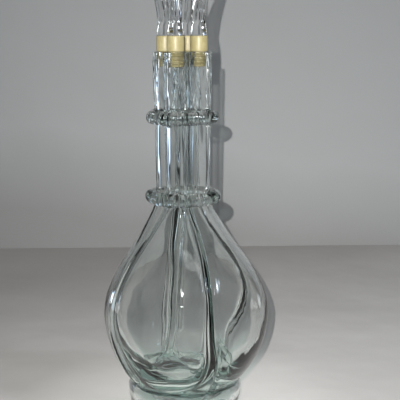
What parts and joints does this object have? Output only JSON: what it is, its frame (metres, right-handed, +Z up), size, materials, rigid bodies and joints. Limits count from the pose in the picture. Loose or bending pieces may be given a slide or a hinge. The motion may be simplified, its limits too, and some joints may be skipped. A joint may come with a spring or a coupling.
{
  "type": "four-chamber decanter",
  "caption": "Glass decanter with a round belly of fused chambers, a bundle of straight necks held by two glass rings, a foot ring and lift-out glass stoppers in plastic sleeves.",
  "frame": {"origin": "on the table plane under the middle of the foot ring, on the decanter's axis", "axes": "+Z up along the decanter's axis; the seams between the necks lie along X and Y, so each neck stands on a diagonal"},
  "size_m": [0.125, 0.1247, 0.3445],
  "materials": {
    "body_glass": "clear blown glass with a faint grey-green tint where it is thick, slightly wavy",
    "ring_glass": "clear applied glass, fire-polished and a little uneven",
    "finial_glass": "clear solid glass, pulled and fluted by hand",
    "sleeve_plastic": "cream-yellow translucent plastic with a soft gloss"
  },
  "bodies": {
    "decanter": {"chamber_1": "body_glass", "chamber_2": "body_glass", "chamber_3": "body_glass", "chamber_4": "body_glass", "upper_neck_ring": "ring_glass", "lower_neck_ring": "ring_glass", "foot_ring": "ring_glass"},
    "stopper_1": {"stopper_sleeve_1": "sleeve_plastic", "finial_1": "finial_glass"},
    "stopper_2": {"stopper_sleeve_2": "sleeve_plastic", "finial_2": "finial_glass"},
    "stopper_3": {"stopper_sleeve_3": "sleeve_plastic", "finial_3": "finial_glass"},
    "stopper_4": {"stopper_sleeve_4": "sleeve_plastic", "finial_4": "finial_glass"}
  },
  "joints": [
    {"name": "stopper_1_lift", "type": "slide", "parent": "decanter", "child": "stopper_1", "axis": [0, 0, 1], "range_m": [0, 0.03]},
    {"name": "stopper_2_lift", "type": "slide", "parent": "decanter", "child": "stopper_2", "axis": [0, 0, 1], "range_m": [0, 0.03]},
    {"name": "stopper_3_lift", "type": "slide", "parent": "decanter", "child": "stopper_3", "axis": [0, 0, 1], "range_m": [0, 0.03]},
    {"name": "stopper_4_lift", "type": "slide", "parent": "decanter", "child": "stopper_4", "axis": [0, 0, 1], "range_m": [0, 0.03]}
  ]
}
